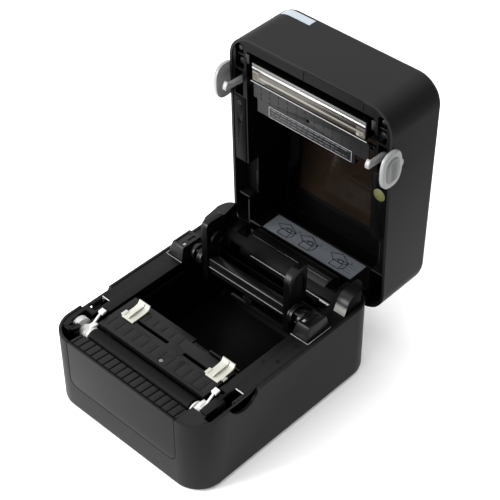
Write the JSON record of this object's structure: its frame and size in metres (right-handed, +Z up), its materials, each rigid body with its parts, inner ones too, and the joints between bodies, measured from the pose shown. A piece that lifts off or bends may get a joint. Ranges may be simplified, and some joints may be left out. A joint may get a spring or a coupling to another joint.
{
  "type": "thermal receipt and label printer",
  "caption": "Desktop thermal printer with an open clamshell lid, platen drive, paper guides, spring latch and an adjustable roll holder.",
  "frame": {"origin": "middle of the bounding box's bottom face, on the table under the printer as it stands with its lid open", "axes": "+Z up, +Y from the paper exit to the hinge and the open lid, +X to the right seen from the front"},
  "size_m": [0.1904, 0.2898, 0.2692],
  "materials": {
    "casing": "fine matte texture, charcoal",
    "interior": "moulded black, satin",
    "deck": "satin dark grey",
    "grey_plastic": "satin grey",
    "light_grey_plastic": "smooth light grey",
    "white_plastic": "smooth white",
    "cream_plastic": "smooth cream",
    "rubber": "matte black",
    "steel": "brushed",
    "aluminium": "extruded",
    "ceramic": "glazed tan ceramic",
    "window": "smoked brown",
    "lens": "translucent blue",
    "board": "green solder mask"
  },
  "bodies": {
    "base": {"base_housing": "casing", "base_plate": "casing", "front_panel": "casing", "exit_comb": "deck", "side_deck_left": "deck", "side_deck_right": "deck", "bay_tray": "interior", "guide_plate": "deck", "gap_sensor": "grey_plastic", "platen_bracket_left": "steel", "platen_bracket_right": "steel", "corner_block_left": "interior", "corner_block_right": "interior", "stepper_motor": "steel", "main_board": "board", "dc_jack": "interior", "usb_port": "steel", "switch_bezel": "interior", "rubber_foot_1": "rubber", "rubber_foot_2": "rubber", "rubber_foot_3": "rubber", "rubber_foot_4": "rubber", "rear_bridge": "interior", "hinge_pin_left": "steel", "hinge_pin_right": "steel", "hinge_cheek_left": "interior", "hinge_cheek_right": "interior", "holder_rail": "interior", "holder_block_left": "interior", "holder_block_right": "interior"},
    "lid": {"lid_shell": "casing", "lid_liner": "interior", "lid_window": "window", "ruler_plate": "deck", "hinge_arm_left": "casing", "hinge_arm_right": "casing", "status_light": "lens"},
    "printhead": {"heat_sink": "aluminium", "thermal_element": "ceramic"},
    "latch": {"latch_lever_left": "light_grey_plastic", "latch_lever_right": "light_grey_plastic", "latch_shaft": "steel"},
    "feed_button": {"feed_button": "grey_plastic"},
    "platen": {"platen_roller": "rubber", "platen_shaft": "steel", "platen_gear": "white_plastic"},
    "idler": {"idler_gear": "white_plastic"},
    "motor_pinion": {"motor_pinion": "steel"},
    "bearing_left": {"bearing_left": "white_plastic"},
    "bearing_right": {"bearing_right": "white_plastic"},
    "guide_left": {"media_guide_left": "cream_plastic", "guide_rack_left": "grey_plastic"},
    "guide_right": {"media_guide_right": "cream_plastic", "guide_rack_right": "grey_plastic"},
    "guide_pinion": {"guide_pinion": "white_plastic"},
    "flange_left": {"roll_flange_left": "interior"},
    "flange_right": {"roll_flange_right": "interior"},
    "flange_pinion": {"holder_pinion": "white_plastic"},
    "power_rocker": {"power_rocker": "casing"}
  },
  "joints": [
    {"name": "lid_hinge", "type": "hinge", "parent": "base", "child": "lid", "pos_m": [0, 0.0628, 0.0598], "axis": [1, 0, 0], "range_deg": [0, 88.7]},
    {"name": "head_float", "type": "slide", "parent": "lid", "child": "printhead", "axis": [0, 0.9997, 0.0227], "range_m": [0, 0.0012], "stiffness_N_per_m": 600},
    {"name": "latch_release", "type": "hinge", "parent": "lid", "child": "latch", "pos_m": [0, 0.09108, 0.21518], "axis": [1, 0, 0], "range_deg": [0, 14], "stiffness_Nm_per_rad": 0.6},
    {"name": "feed_press", "type": "slide", "parent": "lid", "child": "feed_button", "axis": [0, -0.9997, -0.0227], "range_m": [0, 0.0006], "stiffness_N_per_m": 400},
    {"name": "platen_spin", "type": "hinge", "parent": "base", "child": "platen", "pos_m": [0, -0.1187, 0.0698], "axis": [1, 0, 0], "continuous": true},
    {"name": "idler_spin", "type": "hinge", "parent": "base", "child": "idler", "pos_m": [-0.0765, -0.1095, 0.0547], "axis": [1, 0, 0], "continuous": true},
    {"name": "motor_spin", "type": "hinge", "parent": "base", "child": "motor_pinion", "pos_m": [-0.0765, -0.0993, 0.0472], "axis": [1, 0, 0], "continuous": true},
    {"name": "bearing_left_lever", "type": "hinge", "parent": "base", "child": "bearing_left", "pos_m": [-0.066, -0.1187, 0.0698], "axis": [-1, 0, 0], "range_deg": [-60, 0]},
    {"name": "bearing_right_lever", "type": "hinge", "parent": "base", "child": "bearing_right", "pos_m": [0.066, -0.1187, 0.0698], "axis": [-1, 0, 0], "range_deg": [-60, 0]},
    {"name": "guide_left_slide", "type": "slide", "parent": "base", "child": "guide_left", "axis": [1, 0, 0], "range_m": [-0.003, 0.029]},
    {"name": "guide_right_slide", "type": "slide", "parent": "base", "child": "guide_right", "axis": [1, 0, 0], "range_m": [-0.029, 0.003]},
    {"name": "guide_pinion_spin", "type": "hinge", "parent": "base", "child": "guide_pinion", "pos_m": [0, -0.0869, 0.072], "axis": [0, 0, 1], "range_deg": [-278, 30]},
    {"name": "flange_left_slide", "type": "slide", "parent": "base", "child": "flange_left", "axis": [1, 0, 0], "range_m": [-0.009, 0.026]},
    {"name": "flange_right_slide", "type": "slide", "parent": "base", "child": "flange_right", "axis": [1, 0, 0], "range_m": [-0.026, 0.009]},
    {"name": "flange_pinion_spin", "type": "hinge", "parent": "base", "child": "flange_pinion", "pos_m": [0, 0.007, 0.065], "axis": [0, 1, 0], "range_deg": [-115, 332]},
    {"name": "power_rock", "type": "hinge", "parent": "base", "child": "power_rocker", "pos_m": [-0.058, 0.0717, 0.024], "axis": [1, 0, 0], "range_deg": [0, 14]}
  ],
  "couplings": [
    {"joint": "idler_spin", "follows": "platen_spin", "ratio": -1.0833},
    {"joint": "motor_spin", "follows": "platen_spin", "ratio": 2.1667},
    {"joint": "guide_right_slide", "follows": "guide_left_slide", "ratio": -1},
    {"joint": "guide_pinion_spin", "follows": "guide_left_slide", "rad_per_m": -166.67},
    {"joint": "flange_right_slide", "follows": "flange_left_slide", "ratio": -1},
    {"joint": "flange_pinion_spin", "follows": "flange_left_slide", "rad_per_m": 222.22}
  ]
}
